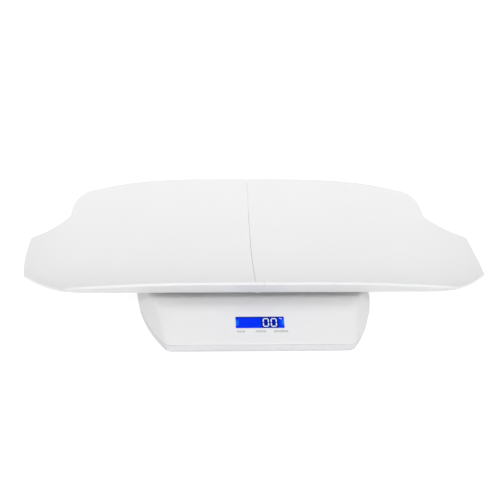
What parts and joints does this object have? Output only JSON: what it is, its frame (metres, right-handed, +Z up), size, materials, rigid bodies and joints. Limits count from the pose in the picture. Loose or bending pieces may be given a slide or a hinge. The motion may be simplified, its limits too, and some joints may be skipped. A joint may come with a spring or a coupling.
{
  "type": "digital baby weighing scale",
  "caption": "Baby weighing scale: a shallow trough tray in two lift-off halves on a flat base with a sloped display panel, flush keys and load cells in its feet.",
  "frame": {"origin": "on the table, under the middle of the scale", "axes": "+X along the tray's length, to the right as the display is read; +Y from the display to the back; +Z up"},
  "size_m": [0.562, 0.3124, 0.106],
  "materials": {
    "casing_white": "satin moulded white",
    "tray_white": "satin moulded white",
    "key_white": "satin moulded white",
    "window_blue": "clear gloss over blue",
    "lcd_glass": "polished",
    "backlight": "diffusing",
    "frame_grey": "moulded",
    "board_green": "solder mask",
    "chip_black": "moulded",
    "switch_black": "moulded",
    "screw_steel": "zinc plated",
    "contact_nickel": "nickel plated",
    "gauge_amber": "polyimide film",
    "cell_jacket": "printed jacket",
    "cell_steel": "stamped",
    "pad_rubber": "soft matte"
  },
  "bodies": {
    "root": {"top_cover": "casing_white", "bottom_cover": "casing_white", "display_window": "window_blue", "lcd_panel": "lcd_glass", "backlight_panel": "backlight", "lcd_frame": "frame_grey", "main_board": "board_green", "controller_chip": "chip_black", "board_screws": "screw_steel", "cover_screws": "screw_steel", "contact_springs": "contact_nickel", "contact_plates": "contact_nickel", "strain_gauges": "gauge_amber", "unit_switch": "switch_black", "lock_switch": "switch_black", "tare_switch": "switch_black", "battery_1": "cell_jacket", "battery_2": "cell_jacket", "battery_3": "cell_jacket", "battery_4": "cell_jacket", "foot_pad_1": "pad_rubber", "foot_pad_2": "pad_rubber", "foot_pad_3": "pad_rubber", "foot_pad_4": "pad_rubber", "foot_cup_1": "casing_white", "foot_cup_2": "casing_white", "foot_cup_3": "casing_white", "foot_cup_4": "casing_white", "load_cell_1": "cell_steel", "load_cell_2": "cell_steel", "load_cell_3": "cell_steel", "load_cell_4": "cell_steel"},
    "tray_left_half": {"tray_left": "tray_white"},
    "tray_right_half": {"tray_right": "tray_white"},
    "unit_button": {"unit_key": "key_white", "unit_plunger": "switch_black"},
    "lock_button": {"lock_key": "key_white", "lock_plunger": "switch_black"},
    "tare_button": {"tare_key": "key_white", "tare_plunger": "switch_black"},
    "door": {"battery_door": "casing_white"}
  },
  "joints": [
    {"name": "tray_left_lift", "type": "slide", "parent": "root", "child": "tray_left_half", "axis": [0, 0, 1], "range_m": [0, 0.06]},
    {"name": "tray_right_lift", "type": "slide", "parent": "root", "child": "tray_right_half", "axis": [0, 0, 1], "range_m": [0, 0.06]},
    {"name": "unit_press", "type": "slide", "parent": "root", "child": "unit_button", "axis": [0, 0.4226, -0.9063], "range_m": [0, 0.0005], "stiffness_N_per_m": 800, "springref_m": -0.0002},
    {"name": "lock_press", "type": "slide", "parent": "root", "child": "lock_button", "axis": [0, 0.4226, -0.9063], "range_m": [0, 0.0005], "stiffness_N_per_m": 800, "springref_m": -0.0002},
    {"name": "tare_press", "type": "slide", "parent": "root", "child": "tare_button", "axis": [0, 0.4226, -0.9063], "range_m": [0, 0.0005], "stiffness_N_per_m": 800, "springref_m": -0.0002},
    {"name": "door_slide", "type": "slide", "parent": "root", "child": "door", "axis": [0, 1, 0], "range_m": [0, 0.028]}
  ]
}
